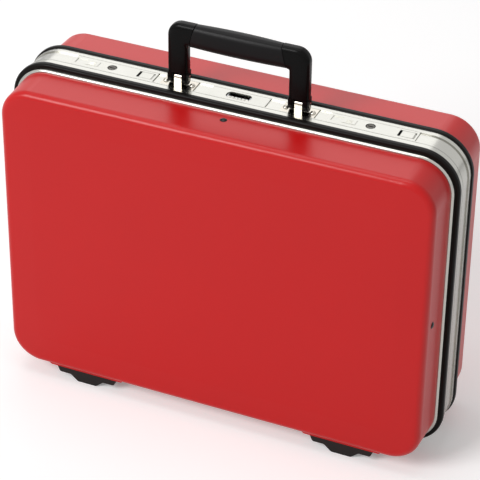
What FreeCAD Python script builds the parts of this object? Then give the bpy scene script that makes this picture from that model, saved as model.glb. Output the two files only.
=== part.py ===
import FreeCAD, Part
import math
import operator
import os
import Sketcher
from FreeCAD import Placement, Rotation, Vector

# Hard case standing on its feet: a moulded lid and base, each gripped by a ring of
# aluminium extrusion with a black bead, with flush locks, number dials and a handle on top.
# X runs along the case, Y from the lid to the base, Z up from the floor. Lengths in mm.

DIMENSIONS = {
    "Case outline at the lip of the frame": {
        "lip_width": 480,
        "lip_height": 347,
        "lip_corner": 38,
        "stand_height": 14.5,
    },
    "Stack from front to back": {
        "lid_depth": 45,
        "base_depth": 48,
        "lip_land": 3.4,
        "bead_width": 7.6,
        "strip_width": 6.4,
        "parting_gap": 0.5,
        "band_width": 24.6,
    },
    "Frame extrusions": {
        "lip_round": 2.4,
        "band_rise": 3.5,
        "bead_seat": 1.5,
        "extrusion_wall": 1.6,
        "leg_wall": 1.4,
        "leg_setback": 2,
        "groove_drop": 2,
        "tongue_reach": 4.1,
        "tongue_rise": 1.2,
        "tongue_drop": 0.2,
        "parting_leg": 3,
        "channel_front": 1.2,
        "channel_width": 18,
        "channel_depth": 1.2,
        "seal_thickness": 1,
        "cut_overrun": 1,
    },
    "Bead": {
        "bead_crest": 5,
        "bead_round": 2.4,
        "bead_fit": 0.05,
    },
    "Shells": {
        "shell_inset": 3,
        "shell_wall": 3,
        "shell_fit": 0.05,
        "rim_insert": 9,
        "shell_draft": 1.4,
        "edge_round": 7,
        "panel_margin": 33,
        "panel_rise": 1.2,
        "panel_corner": 14,
    },
    "Feet and their bosses": {
        "foot_x": 149,
        "foot_length": 72,
        "foot_bevel": 3.5,
        "foot_plate": 8.2,
        "foot_pad_length": 39,
        "foot_pad_bevel": 8.5,
        "foot_width": 28,
        "foot_round": 3,
        "boss_height": 2,
        "boss_margin": 6,
        "boss_bevel": 6,
        "boss_root": 2.7,
        "boss_width": 31,
        "peg_radius": 2.5,
        "peg_pitch": 40,
    },
    "Lid rivets": {
        "rivet_radius": 2,
        "rivet_head": 3.7,
        "rivet_head_height": 1.5,
        "rivet_tail": 1.2,
        "top_rivet_setback": 10.5,
        "side_rivet_setback": 28,
    },
    "Locks": {
        "lock_bracket_gap": 8.15,
        "lock_left": 43.5,
        "lock_right": 49,
        "cover_thickness": 1.1,
        "cover_side_gap": 0.2,
        "case_width": 13,
        "case_wall": 0.8,
        "case_depth": 14,
        "case_end_gap": 1,
        "case_fit": 0.2,
        "striker_window": 3,
        "ledge_gap": 0.3,
        "ledge_front": 3.1,
    },
    "Slide button and bolt": {
        "button_centre": 22.4,
        "button_length": 14.4,
        "button_width": 9,
        "button_proud": 0.3,
        "button_gap": 0.2,
        "slide_travel": 8,
        "slide_spare": 3,
        "recess_depth": 0.6,
        "button_float": 0.05,
        "stem_length": 3,
        "stem_width": 4,
        "stem_inset": 0.6,
        "stem_gap": 0.2,
        "ridge_width": 1.2,
        "ridge_height": 0.5,
        "ridge_length": 6,
        "ridge_pitch": 3,
        "bolt_length": 21,
        "bolt_width": 10.8,
        "bolt_thickness": 1.2,
        "bolt_clearance": 0.1,
        "bolt_leg_length": 6,
        "bolt_leg_thickness": 1.8,
        "bolt_leg_inset": 0.4,
        "bolt_reach": 8,
    },
    "Key cylinder": {
        "key_radius": 5,
        "key_fit": 0.08,
        "key_depth": 11,
        "key_sink": 0.2,
        "key_face_radius": 4.1,
        "key_face_height": 2.4,
        "keyway_length": 5.6,
        "keyway_width": 1.6,
        "keyway_depth": 4,
        "cam_length": 5,
        "cam_width": 3.4,
        "cam_thickness": 1.5,
    },
    "Release flap": {
        "flap_x": 32.2,
        "flap_length": 13,
        "flap_width": 10.8,
        "flap_gap": 0.4,
        "flap_slot": 2.8,
        "flap_heel": 1.4,
        "flap_pin_drop": 1,
        "flap_pin_radius": 0.6,
        "flap_pin_fit": 0.06,
    },
    "Strikers": {
        "striker_width": 16,
        "striker_thickness": 1.4,
        "striker_reach": 9,
        "striker_gap": 1.5,
        "notch_depth": 7.5,
        "notch_side_gap": 0.4,
        "striker_rivet": 0.9,
        "striker_rivet_head": 1.5,
        "striker_rivet_height": 0.8,
        "striker_rivet_pitch": 8,
    },
    "Number dials": {
        "dial_plate_length": 63,
        "dial_window_length": 27,
        "dial_window_width": 12,
        "dial_window_round": 5,
        "dial_radius": 4.2,
        "dial_width": 6.8,
        "dial_pitch": 7.75,
        "dial_sink": 0.5,
        "dial_setback": 2.7,
        "dial_axle": 1.2,
        "dial_axle_fit": 0.06,
        "dial_notch_width": 0.6,
        "dial_notch_depth": 0.35,
        "cage_wall": 1,
        "cage_width": 13,
        "cage_side_gap": 0.4,
        "cage_bottom_gap": 0.6,
        "axle_stub": 0.6,
    },
    "Handle": {
        "handle_width": 153,
        "arm_width": 21.5,
        "bow_thickness": 14,
        "pivot_rise": 8,
        "bow_top": 62,
        "bow_under": 39,
        "bow_corner": 19,
        "bow_inner_corner": 3,
        "bow_round": 3,
        "grip_top_length": 88,
        "grip_bottom_length": 106,
        "grip_thickness": 18,
        "grip_crown": 1.5,
        "grip_belly": 2.5,
        "grip_round": 6,
        "grip_seam": 0.3,
        "core_height": 11,
        "core_thickness": 7,
        "core_fit": 0.1,
        "ear_notch_width": 9.4,
        "ear_notch_height": 7,
    },
    "Handle brackets": {
        "bracket_length": 37,
        "hoop_width": 8,
        "hoop_wall": 1.45,
        "pin_radius": 2.5,
        "pin_fit": 0.08,
        "pin_head": 3,
        "pin_head_height": 0.8,
        "pin_head_crown": 0.4,
        "pin_end_gap": 0.4,
        "bracket_rivet": 1.4,
        "bracket_rivet_head": 3.1,
        "bracket_rivet_height": 2.4,
        "bracket_rivet_pitch": 29,
    },
    "Hinges": {
        "hinge_x": 140,
        "hinge_length": 50,
        "hinge_barrel": 2.5,
        "hinge_axis_rise": 2.8,
        "hinge_pin": 1.25,
        "hinge_pin_fit": 0.06,
        "hinge_leaf": 1.2,
        "hinge_middle_length": 24,
        "hinge_knuckle_gap": 0.3,
        "hinge_leaf_setback": 0.2,
        "hinge_rivet": 1.2,
        "hinge_rivet_head": 1.8,
        "hinge_rivet_height": 0.8,
        "hinge_rivet_pitch": 36,
    },
}

BOTH_SIDES = (-1, 1)
DIAL_PLACES = {"left": -1, "middle": 0, "right": 1}
LOCK_SIDES = {"left": -1, "right": 1}
DIAL_POSITIONS = 10
OPERATIONS = {
    "+": operator.add,
    "-": operator.sub,
    "*": operator.mul,
    "/": operator.truediv,
}
TURNS = {
    "X": Rotation(Vector(0, 1, 0), 90),
    "Y": Rotation(Vector(1, 0, 0), -90),
    "Z": Rotation(),
}

doc = FreeCAD.newDocument("HardCase")
sheet = doc.addObject("Spreadsheet::Sheet", "Sheet")


class Size:
    """A length that carries both its value and the sheet formula that gives it."""

    def __init__(self, value, formula):
        self.value = value
        self.formula = formula

    def join(self, sign, other, swapped=False):
        first, second = (as_size(other), self) if swapped else (self, as_size(other))
        value = OPERATIONS[sign](first.value, second.value)
        return Size(value, f"({first.formula} {sign} {second.formula})")

    def __add__(self, other):
        return self.join("+", other)

    def __radd__(self, other):
        return self.join("+", other, swapped=True)

    def __sub__(self, other):
        return self.join("-", other)

    def __rsub__(self, other):
        return self.join("-", other, swapped=True)

    def __mul__(self, other):
        return self.join("*", other)

    def __rmul__(self, other):
        return self.join("*", other, swapped=True)

    def __truediv__(self, other):
        return self.join("/", other)

    def __neg__(self):
        return self.join("*", -1)


def as_size(term):
    return term if isinstance(term, Size) else Size(term, f"({term})")


class Sizes:
    """The driving dimensions, each written once in the sheet and read back as a Size."""

    def __init__(self, groups):
        row = 0
        for title, values in groups.items():
            row += 1
            sheet.set(f"A{row}", title)
            for name, value in values.items():
                row += 1
                sheet.set(f"A{row}", name)
                sheet.set(f"B{row}", str(value))
                sheet.setAlias(f"B{row}", name)
        doc.recompute()
        for values in groups.values():
            for name in values:
                setattr(self, name, Size(float(getattr(sheet, name)), f"Sheet.{name}"))


d = Sizes(DIMENSIONS)


def bind(item, prop, size):
    item.setExpression(prop, as_size(size).formula)


def set_down(item, turn, place):
    """Turns a piece, then binds its place to the sheet."""
    item.Placement = Placement(Vector(), turn)
    for axis, size in zip("xyz", place):
        bind(item, f"Placement.Base.{axis}", size)
    return item


def box(name, low, high):
    item = doc.addObject("Part::Box", name)
    for side, start, end in zip(("Length", "Width", "Height"), low, high):
        bind(item, side, end - start)
    return set_down(item, TURNS["Z"], low)


def cylinder(name, axis, start, radius, length):
    item = doc.addObject("Part::Cylinder", name)
    bind(item, "Radius", radius)
    bind(item, "Height", length)
    return set_down(item, TURNS[axis], start)


def fuse(name, *pieces):
    item = doc.addObject("Part::MultiFuse", name)
    item.Shapes = list(pieces)
    item.Refine = True
    return item


def cut(name, base, *tools):
    item = doc.addObject("Part::Cut", name)
    item.Base = base
    item.Tool = tools[0] if len(tools) == 1 else fuse(f"{name}_cuts", *tools)
    return item


def group(name, *pieces):
    item = doc.addObject("Part::Compound", name)
    item.Links = list(pieces)
    return item


def new_body(name):
    return doc.addObject("PartDesign::Body", name)


def new_sketch(body, name, plane, offset):
    sketch = body.newObject("Sketcher::SketchObject", name)
    support = next(part for part in body.Origin.OriginFeatures if part.Role == plane)
    sketch.AttachmentSupport = (support, [""])
    sketch.MapMode = "FlatFace"
    # The XZ plane faces the front, so its offset is counted towards -Y
    bind(sketch, "AttachmentOffset.Base.z", -as_size(offset) if plane == "XZ_Plane" else offset)
    return sketch


def arc_between(start, end, radius, turn):
    """Minor arc from start to end, anticlockwise for turn 1 and clockwise for turn -1."""
    chord = end - start
    across = Vector(-chord.y, chord.x, 0).normalize()
    rise = math.sqrt(max(radius**2 - (chord.Length / 2) ** 2, 0))
    centre = (start + end) * 0.5 + across * rise * turn
    first, last = (start, end) if turn > 0 else (end, start)
    angles = [math.atan2(point.y - centre.y, point.x - centre.x) for point in (first, last)]
    return Part.ArcOfCircle(Part.Circle(centre, Vector(0, 0, 1), radius), *angles)


def hold(sketch, kind, edge, point, size):
    """Holds a corner at its distance from the sketch's axis."""
    if isinstance(size, int) and size == 0:
        axis = -2 if kind == "DistanceX" else -1
        sketch.addConstraint(Sketcher.Constraint("PointOnObject", edge, point, axis))
        return
    index = sketch.addConstraint(
        Sketcher.Constraint(kind, -1, 1, edge, point, as_size(size).value)
    )
    sketch.renameConstraint(index, f"{kind}{edge}")
    bind(sketch, f"Constraints.{kind}{edge}", size)


def draw(sketch, corners):
    """Closed outline. A corner is (x, y), or (x, y, radius[, turn]) where an arc leaves it."""
    first = sketch.GeometryCount
    points = [Vector(as_size(c[0]).value, as_size(c[1]).value, 0) for c in corners]
    ends = []
    for corner, start, end in zip(corners, points, points[1:] + points[:1]):
        turn = corner[3] if len(corner) > 3 else 1
        if len(corner) > 2:
            sketch.addGeometry(arc_between(start, end, corner[2].value, turn), False)
        else:
            sketch.addGeometry(Part.LineSegment(start, end), False)
        ends.append((1, 2) if turn > 0 else (2, 1))
    for index, corner in enumerate(corners):
        edge = first + index
        following = (index + 1) % len(corners)
        sketch.addConstraint(
            Sketcher.Constraint(
                "Coincident", edge, ends[index][1], first + following, ends[following][0]
            )
        )
        hold(sketch, "DistanceX", edge, ends[index][0], corner[0])
        hold(sketch, "DistanceY", edge, ends[index][0], corner[1])
        if len(corner) > 2:
            bend = sketch.addConstraint(Sketcher.Constraint("Radius", edge, corner[2].value))
            sketch.renameConstraint(bend, f"Radius{edge}")
            bind(sketch, f"Constraints.Radius{edge}", corner[2])


def rectangle(low, high):
    return [(low[0], low[1]), (high[0], low[1]), (high[0], high[1]), (low[0], high[1])]


def rounded(width, height, radius, centre):
    """Anticlockwise outline of a rectangle with round corners."""
    left, right = centre[0] - width / 2, centre[0] + width / 2
    low, high = centre[1] - height / 2, centre[1] + height / 2
    return [
        (left + radius, low),
        (right - radius, low, radius),
        (right, low + radius),
        (right, high - radius, radius),
        (right - radius, high),
        (left + radius, high, radius),
        (left, high - radius),
        (left, low + radius, radius),
    ]


def prism(name, plane, start, length, *outlines):
    """Body of one pad, carried towards +X, +Y or +Z from its start plane."""
    body = new_body(name)
    sketch = new_sketch(body, f"{name}_outline", plane, start)
    for corners in outlines:
        draw(sketch, corners)
    pad = body.newObject("PartDesign::Pad", f"{name}_pad")
    pad.Profile = sketch
    pad.Reversed = plane == "XZ_Plane"
    bind(pad, "Length", length)
    return body


def turned(name, corners):
    """Body turned about the X axis from its half outline."""
    body = new_body(name)
    sketch = new_sketch(body, f"{name}_outline", "XY_Plane", 0)
    draw(sketch, corners)
    turning = body.newObject("PartDesign::Revolution", f"{name}_turning")
    turning.Profile = sketch
    turning.ReferenceAxis = (sketch, ["H_Axis"])
    turning.Angle = 360
    return body


def crown_radius(half_width, height):
    """Radius of the arc that spans a half width and rises to a height."""
    return (half_width * half_width + height * height) / (2 * height)


def rivet_outline(radius, head, height, length):
    """Half outline of a domed rivet, its head above the seat at x = 0 and its shank below."""
    return [
        (-length, 0),
        (height, 0, crown_radius(head, height)),
        (0, head),
        (0, radius),
        (-length, radius),
    ]


def round_edges(body, name, radius, chosen):
    """Rounds the edges of the body that the test picks."""
    doc.recompute()
    picked = [f"Edge{i}" for i, edge in enumerate(body.Shape.Edges, 1) if chosen(edge)]
    rounded_feature = body.Tip
    fillet = body.newObject("PartDesign::Fillet", name)
    fillet.Base = (rounded_feature, picked)
    bind(fillet, "Radius", radius)


def flat_at(axis, size):
    """Test for edges that lie in the plane where the axis has this value."""

    def chosen(edge):
        span = edge.BoundBox
        low, high = getattr(span, f"{axis}Min"), getattr(span, f"{axis}Max")
        near = d.bead_fit.value
        return abs(low - size.value) < near and abs(high - size.value) < near

    return chosen


# Places along the stack, counted from the middle of the closed case
y_rear = (
    d.lid_depth
    + d.base_depth
    + 2 * d.lip_land
    + 2 * d.bead_width
    + d.strip_width
    + d.parting_gap
    + d.band_width
) / 2
y_front = -y_rear
y_lip = y_front + d.lid_depth
y_bead = y_lip + d.lip_land
y_strip = y_bead + d.bead_width
y_lid_part = y_strip + d.strip_width
y_base_part = y_lid_part + d.parting_gap
y_band_end = y_base_part + d.band_width
y_rear_lip = y_band_end + d.bead_width
y_rear_land = y_rear_lip + d.lip_land
y_channel = y_base_part + d.channel_front
y_centre = y_channel + d.channel_width / 2
y_web = y_strip + d.extrusion_wall
y_rear_web = y_band_end - d.extrusion_wall

# Heights: the lip line at top and bottom, and the levels of the band on top
z_bottom = d.stand_height
z_top = d.stand_height + d.lip_height
z_middle = d.stand_height + d.lip_height / 2
slot_bottom = d.shell_inset + d.shell_wall + 2 * d.shell_fit
leg_bottom = slot_bottom + d.leg_wall
z_band = z_top + d.band_rise
z_floor = z_band - d.channel_depth
z_floor_under = z_floor - d.extrusion_wall
z_cover = z_floor + d.cover_thickness
z_pivot = z_band + d.pivot_rise
z_shell_low = z_bottom + d.shell_inset + d.shell_fit
z_foot_seat = z_shell_low - d.boss_height


# Along the case: the handle's arms, then the locks clear of the arms' brackets
x_arm = (d.handle_width - d.arm_width) / 2
lock_x = x_arm + d.bracket_length / 2 + d.lock_bracket_gap + d.lock_right


def ring_line():
    """Lip line, broken at the middle of the top where the section stands."""
    half = d.lip_width / 2
    inner = half - d.lip_corner
    low, high = z_bottom + d.lip_corner, z_top - d.lip_corner
    return [
        (0, z_top),
        (inner, z_top, d.lip_corner, -1),
        (half, high),
        (half, low, d.lip_corner, -1),
        (inner, z_bottom),
        (-inner, z_bottom, d.lip_corner, -1),
        (-half, low),
        (-half, high, d.lip_corner, -1),
        (-inner, z_top),
    ]


def ring(name, section):
    """One section bent round the whole case along the lip line."""
    body = new_body(name)
    line = new_sketch(body, f"{name}_line", "XZ_Plane", 0)
    draw(line, ring_line())
    profile = new_sketch(body, f"{name}_section", "YZ_Plane", 0)
    draw(profile, section)
    sweep = body.newObject("PartDesign::AdditivePipe", f"{name}_sweep")
    sweep.Profile = profile
    sweep.Spine = line
    return body


def lid_frame_section():
    """Lip, bead seat and strip, a groove for the base's tongue, and a slot for the shell."""
    groove_top = z_band - d.extrusion_wall
    groove_low = z_top - d.groove_drop
    return [
        (y_lip, z_top - d.lip_round, d.lip_round, -1),
        (y_lip + d.lip_round, z_top),
        (y_bead, z_top),
        (y_bead, z_top - d.bead_seat),
        (y_strip, z_top - d.bead_seat),
        (y_strip, z_band),
        (y_lid_part, z_band),
        (y_lid_part, groove_top),
        (y_web, groove_top),
        (y_web, groove_low),
        (y_lid_part, groove_low),
        (y_lid_part, groove_low - d.leg_wall),
        (y_web, groove_low - d.leg_wall),
        (y_web, z_top - leg_bottom),
        (y_lip + d.leg_setback, z_top - leg_bottom),
        (y_lip + d.leg_setback, z_top - slot_bottom),
        (y_strip, z_top - slot_bottom),
        (y_strip, z_top - d.shell_inset),
        (y_lip, z_top - d.shell_inset),
    ]


def base_frame_section():
    """Tongue, lock channel, bead seat and lip, with the slot for the rear shell."""
    y_leg_end = y_rear_land - d.leg_setback
    y_channel_end = y_channel + d.channel_width
    return [
        (y_base_part, z_band),
        (y_channel, z_band),
        (y_channel, z_floor),
        (y_channel_end, z_floor),
        (y_channel_end, z_band),
        (y_band_end, z_band),
        (y_band_end, z_top - d.bead_seat),
        (y_rear_lip, z_top - d.bead_seat),
        (y_rear_lip, z_top),
        (y_rear_land - d.lip_round, z_top, d.lip_round, -1),
        (y_rear_land, z_top - d.lip_round),
        (y_rear_land, z_top - d.shell_inset),
        (y_band_end, z_top - d.shell_inset),
        (y_band_end, z_top - slot_bottom),
        (y_leg_end, z_top - slot_bottom),
        (y_leg_end, z_top - leg_bottom),
        (y_rear_web, z_top - leg_bottom),
        (y_rear_web, z_floor_under),
        (y_base_part + d.extrusion_wall, z_floor_under),
        (y_base_part + d.extrusion_wall, z_top - d.parting_leg),
        (y_base_part, z_top - d.parting_leg),
        (y_base_part, z_top - d.tongue_drop),
        (y_base_part - d.tongue_reach, z_top - d.tongue_drop),
        (y_base_part - d.tongue_reach, z_top + d.tongue_rise),
        (y_base_part, z_top + d.tongue_rise),
    ]


def bead_section(start, end):
    """Round-shouldered strip between the lip and the band."""
    low, high = start + d.bead_fit, end - d.bead_fit
    crest = z_top + d.bead_crest
    bend = d.bead_round
    return [
        (low, z_top - d.bead_seat),
        (high, z_top - d.bead_seat),
        (high, crest - bend, bend),
        (high - bend, crest),
        (low + bend, crest, bend),
        (low, crest - bend),
    ]


def seal_section():
    """Rubber strip against the back of the lid's groove."""
    return rectangle(
        (y_web, z_top - d.groove_drop),
        (y_web + d.seal_thickness, z_band - d.extrusion_wall),
    )


def shell_outline(inset, corner=None):
    radius = corner if corner else d.lip_corner - inset
    return rounded(d.lip_width - 2 * inset, d.lip_height - 2 * inset, radius, (0, z_middle))


def shell_loft(body, name, kind, stations):
    """Ruled skin through round-cornered outlines, each at its own depth, rear one first."""
    sections = []
    rear_first = sorted(stations, key=lambda station: -station[0].value)
    for index, (y, corners) in enumerate(rear_first):
        sketch = new_sketch(body, f"{name}_{index}", "XZ_Plane", y)
        draw(sketch, corners)
        sections.append(sketch)
    loft = body.newObject(f"PartDesign::{kind}Loft", name)
    loft.Profile = sections[0]
    loft.Sections = sections[1:]
    loft.Ruled = True
    return loft


def boss_outline(x):
    """Flat boss under the bottom wall with sloped ends, as seen from the front."""
    half_low = d.foot_length / 2 + d.boss_margin
    half_high = half_low + d.boss_bevel
    return [
        (x - half_low, z_foot_seat),
        (x + half_low, z_foot_seat),
        (x + half_high, z_shell_low + d.boss_root),
        (x - half_high, z_shell_low + d.boss_root),
    ]


def foot_pegs(name, x, y, start, end):
    """The two pegs that hold a foot, between two levels."""
    return [
        cylinder(
            f"{name}_{index}",
            "Z",
            (x + side * d.peg_pitch / 2, y, start),
            d.peg_radius,
            end - start,
        )
        for index, side in enumerate(BOTH_SIDES)
    ]


def shell(name, y_rim, y_face, inward):
    """Moulded shell: straight rim, drafted walls, round edge and a raised middle panel.

    inward is 1 where the face looks to the front and -1 where it looks to the rear.
    """
    inset = d.shell_inset + d.shell_fit
    face_inset = inset + d.shell_draft
    panel_inset = face_inset + d.panel_margin
    y_edge = y_face + inward * d.panel_rise
    y_end = y_rim + inward * d.rim_insert
    wall = d.shell_wall
    y_boss = (y_rim + y_face) / 2 - d.boss_width / 2
    body = new_body(f"{name}_moulding")
    shell_loft(
        body,
        f"{name}_skin",
        "Additive",
        [
            (y_end, shell_outline(inset)),
            (y_rim, shell_outline(inset)),
            (y_edge, shell_outline(face_inset)),
            (y_face, shell_outline(panel_inset, d.panel_corner)),
        ],
    )
    round_edges(body, f"{name}_edge", d.edge_round, flat_at("Y", y_edge))
    for index, side in enumerate(BOTH_SIDES):
        sketch = new_sketch(body, f"{name}_boss_{index}", "XZ_Plane", y_boss)
        draw(sketch, boss_outline(side * d.foot_x))
        pad = body.newObject("PartDesign::Pad", f"{name}_boss_pad_{index}")
        pad.Profile = sketch
        pad.Reversed = True
        bind(pad, "Length", d.boss_width)
    shell_loft(
        body,
        f"{name}_hollow",
        "Subtractive",
        [
            (y_end + inward * d.cut_overrun, shell_outline(inset + wall)),
            (y_rim, shell_outline(inset + wall)),
            (y_edge + inward * wall, shell_outline(face_inset + wall)),
            (y_face + inward * wall, shell_outline(panel_inset, d.panel_corner)),
        ],
    )
    round_edges(
        body,
        f"{name}_inner_edge",
        d.edge_round - wall,
        flat_at("Y", y_edge + inward * wall),
    )
    holes = []
    y_foot = (y_rim + y_face) / 2
    for index, side in enumerate(BOTH_SIDES):
        hole = f"{name}_peg_hole_{index}"
        start = z_foot_seat - d.cut_overrun
        holes += foot_pegs(hole, side * d.foot_x, y_foot, start, z_shell_low + d.shell_wall)
    return body, holes


def foot(name, x, y):
    """Stepped foot: a bevelled plate with a deeper pad in the middle, and two pegs."""
    seat = z_foot_seat
    half = d.foot_length / 2
    half_pad = d.foot_pad_length / 2
    step = seat - d.foot_plate
    plate = prism(
        f"{name}_tread",
        "XZ_Plane",
        y - d.foot_width / 2,
        d.foot_width,
        [
            (x - half, seat),
            (x - half + d.foot_bevel, step),
            (x - half_pad, step),
            (x - half_pad + d.foot_pad_bevel, 0),
            (x + half_pad - d.foot_pad_bevel, 0),
            (x + half_pad, step),
            (x + half - d.foot_bevel, step),
            (x + half, seat),
        ],
    )

    def across(edge):
        span = edge.BoundBox
        return span.YLength > d.foot_width.value / 2 and span.ZMax < seat.value - d.bead_fit.value

    round_edges(plate, f"{name}_rounding", d.foot_round, across)
    pegs = foot_pegs(f"{name}_peg", x, y, seat, z_shell_low + d.shell_wall)
    return fuse(f"{name}_solid", plate, *pegs)


def feet(name, y_rim, y_face):
    y = (y_rim + y_face) / 2
    return group(
        name, *[foot(f"{name}_{i}", side * d.foot_x, y) for i, side in enumerate(BOTH_SIDES)]
    )


def lid_rivets(name):
    """Domed rivets through the lid's top and side walls, and the holes they fill."""
    outline = rivet_outline(
        d.rivet_radius, d.rivet_head, d.rivet_head_height, d.shell_wall + d.rivet_tail
    )
    slope = d.shell_draft / d.lid_depth
    inset = d.shell_inset + d.shell_fit
    # The heads sit on the higher side of the drafted wall
    top_inset = inset + slope * (d.top_rivet_setback - d.rivet_head)
    side_inset = inset + slope * (d.side_rivet_setback - d.rivet_head)
    x_side = d.lip_width / 2 - side_inset
    places = [
        (Rotation(Vector(0, 1, 0), -90), (0, y_lip - d.top_rivet_setback, z_top - top_inset)),
        (Rotation(), (x_side, y_lip - d.side_rivet_setback, z_middle)),
        (Rotation(Vector(0, 0, 1), 180), (-x_side, y_lip - d.side_rivet_setback, z_middle)),
    ]
    rivets, holes = [], []
    for index, (turn, place) in enumerate(places):
        rivets.append(set_down(turned(f"{name}_{index}", outline), turn, place))
        shank = turned(
            f"{name}_hole_{index}",
            rectangle((-2 * d.shell_wall, 0), (d.rivet_head, d.rivet_radius)),
        )
        holes.append(set_down(shank, turn, place))
    return group(name, *rivets), holes


def stem_span(x):
    """Ends of the button's stem, which stands under its right end so that it hides the slot."""
    right = x - d.button_centre + d.button_length / 2 - d.stem_inset
    return right - d.stem_length, right


def lock_cover(name, x):
    """Flush cover plate with a recess for the button and windows for key and flap."""
    left, right = x - d.lock_left, x + d.lock_right
    low, high = cover_span()
    button_right = x - d.button_centre + d.button_length / 2 + d.button_gap
    button_left = button_right - d.button_length - 2 * d.button_gap - d.slide_travel - d.slide_spare
    half_button = d.button_width / 2 + d.button_gap
    plate = box(f"{name}_plate", (left, low, z_floor), (right, high, z_cover))
    recess = box(
        f"{name}_button_recess",
        (button_left, y_centre - half_button, z_cover - d.recess_depth),
        (button_right, y_centre + half_button, z_cover + d.cut_overrun),
    )
    stem_left, stem_right = stem_span(x)
    half_slot = d.stem_width / 2 + d.stem_gap
    slot = box(
        f"{name}_stem_slot",
        (stem_left - d.slide_travel - d.stem_gap, y_centre - half_slot, z_floor - d.cut_overrun),
        (stem_right + d.stem_gap, y_centre + half_slot, z_cover),
    )
    key_hole = cylinder(
        f"{name}_key_hole",
        "Z",
        (x, y_centre, z_floor - d.cut_overrun),
        d.key_radius + d.key_fit,
        d.cover_thickness + 2 * d.cut_overrun,
    )
    half_flap = d.flap_width / 2 + d.flap_gap
    flap_window = box(
        f"{name}_flap_window",
        (x + d.flap_x - d.flap_slot, y_centre - half_flap, z_floor - d.cut_overrun),
        (
            x + d.flap_x + d.flap_length + d.flap_heel + d.flap_gap,
            y_centre + half_flap,
            z_cover + d.cut_overrun,
        ),
    )
    return cut(name, plate, recess, slot, key_hole, flap_window)


def cover_span():
    """Front and rear edges of the plates that lie in the band's channel."""
    return y_channel + d.cover_side_gap, y_channel + d.channel_width - d.cover_side_gap


def lock_ends(x):
    """Ends of the lock case under its cover."""
    return x - d.lock_left + d.case_end_gap, x + d.lock_right - d.case_end_gap


def flap_axis(x):
    """Place of the flap's pin, under the cover at the flap's right end."""
    return x + d.flap_x + d.flap_length, z_floor - d.flap_pin_drop


def lock_case(name, x):
    """Open tray under the cover, with a ledge below the slide plate.

    It has a window for the striker and seats for the flap's pin.
    """
    left, right = lock_ends(x)
    half = d.case_width / 2
    low = z_floor - d.case_depth
    outer = box(f"{name}_outer", (left, y_centre - half, low), (right, y_centre + half, z_floor))
    inner = box(
        f"{name}_inner",
        (left + d.case_wall, y_centre - half + d.case_wall, low + d.case_wall),
        (right - d.case_wall, y_centre + half - d.case_wall, z_floor + d.cut_overrun),
    )
    striker_left, striker_right = striker_span(x)
    striker_high = z_striker() + d.striker_window
    striker_low = z_striker() - d.striker_thickness - d.striker_window
    window = box(
        f"{name}_window",
        (striker_left - d.striker_gap, y_centre - half - d.cut_overrun, striker_low),
        (striker_right + d.striker_gap, y_centre, striker_high),
    )
    x_pin, z_pin = flap_axis(x)
    pin_hole = cylinder(
        f"{name}_pin_hole",
        "Y",
        (x_pin, y_centre - half - d.cut_overrun, z_pin),
        d.flap_pin_radius,
        d.case_width + 2 * d.cut_overrun,
    )
    ledge_top = z_floor - d.bolt_clearance - d.bolt_thickness - d.ledge_gap
    ledge = box(
        f"{name}_ledge",
        (left, y_centre - d.ledge_front, ledge_top - d.case_wall),
        (x - d.key_radius - d.case_end_gap, y_centre + half, ledge_top),
    )
    return fuse(name, cut(f"{name}_tray", outer, inner, window, pin_hole), ledge)


def flap_pin(name, x):
    x_pin, z_pin = flap_axis(x)
    start = (x_pin, y_centre - d.case_width / 2, z_pin)
    return cylinder(name, "Y", start, d.flap_pin_radius, d.case_width)


def release_flap(name, x):
    """Flap with a rolled heel that turns on the pin at its right end."""
    x_pin, z_pin = flap_axis(x)
    width = d.flap_width
    half = width / 2
    inner_width = d.case_width - 2 * d.case_wall - 2 * d.flap_gap
    leaf = box(
        f"{name}_leaf",
        (x + d.flap_x, y_centre - half, z_floor),
        (x_pin, y_centre + half, z_cover),
    )
    heel = cylinder(
        f"{name}_heel",
        "Y",
        (x_pin, y_centre - inner_width / 2, z_pin),
        d.flap_heel,
        inner_width,
    )
    bore = cylinder(
        f"{name}_bore",
        "Y",
        (x_pin, y_centre - half - d.cut_overrun, z_pin),
        d.flap_pin_radius + d.flap_pin_fit,
        width + 2 * d.cut_overrun,
    )
    return cut(name, fuse(f"{name}_rolled", leaf, heel), bore)


def key_cylinder(name, x):
    """Key plug with a narrower face and its keyway, and the cam at its lower end."""
    top = z_cover - d.key_sink
    low = top - d.key_depth
    shoulder = d.key_depth - d.key_face_height
    plug = cylinder(f"{name}_plug", "Z", (x, y_centre, low), d.key_radius, shoulder)
    face = cylinder(f"{name}_face", "Z", (x, y_centre, low), d.key_face_radius, d.key_depth)
    keyway = box(
        f"{name}_keyway",
        (x - d.keyway_length / 2, y_centre - d.keyway_width / 2, top - d.keyway_depth),
        (x + d.keyway_length / 2, y_centre + d.keyway_width / 2, top + d.cut_overrun),
    )
    cam = box(
        f"{name}_cam",
        (x - d.cam_length, y_centre - d.cam_width / 2, low - d.cam_thickness),
        (x + d.cam_width / 2, y_centre + d.cam_width / 2, low),
    )
    return cut(name, fuse(f"{name}_plug_and_cam", plug, face, cam), keyway)


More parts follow.
